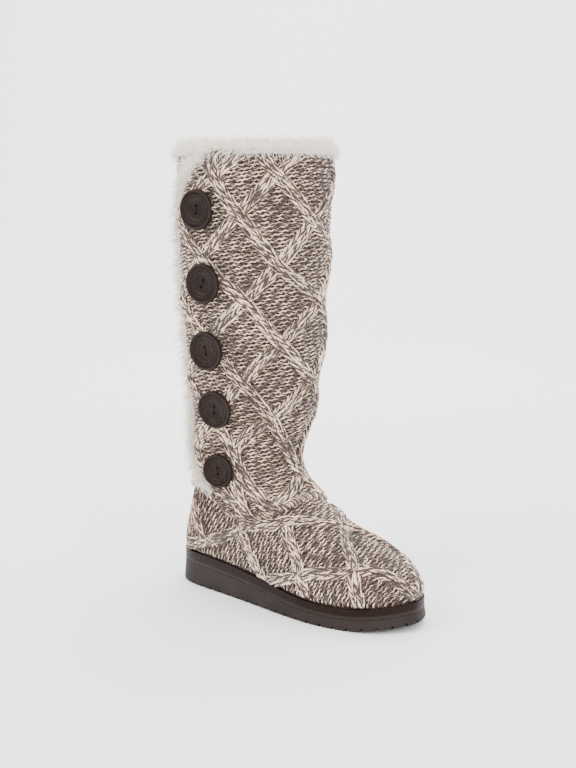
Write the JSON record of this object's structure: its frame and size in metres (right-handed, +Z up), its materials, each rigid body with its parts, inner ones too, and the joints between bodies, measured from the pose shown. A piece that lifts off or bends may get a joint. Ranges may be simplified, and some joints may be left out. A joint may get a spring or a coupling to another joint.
{
  "type": "mukluk boot",
  "caption": "Knee-high cable-knit boot with a side placket of two-hole buttons, faux-fur trim and a two-tone rubber sole.",
  "frame": {"origin": "on the ground, under the middle of the heel", "axes": "+X to the toe, +Y to the inner (medial) side of the foot, +Z up the leg"},
  "size_m": [0.2691, 0.1391, 0.4145],
  "materials": {
    "sole_rubber": "matt grey-brown moulded rubber",
    "rand_rubber": "satin dark brown rubber",
    "marl_knit": "cable knit in brown and cream marl yarn",
    "fleece": "short cream fleece",
    "pile": "deep cream faux fur",
    "button_horn": "dark brown polished resin, lightly worn"
  },
  "bodies": {
    "root": {"outsole": "sole_rubber", "midsole": "rand_rubber", "insole": "fleece", "upper": "marl_knit", "fur_collar": "pile", "fur_placket": "pile", "button_1": "button_horn", "button_2": "button_horn", "button_3": "button_horn", "button_4": "button_horn", "button_5": "button_horn"}
  },
  "joints": []
}
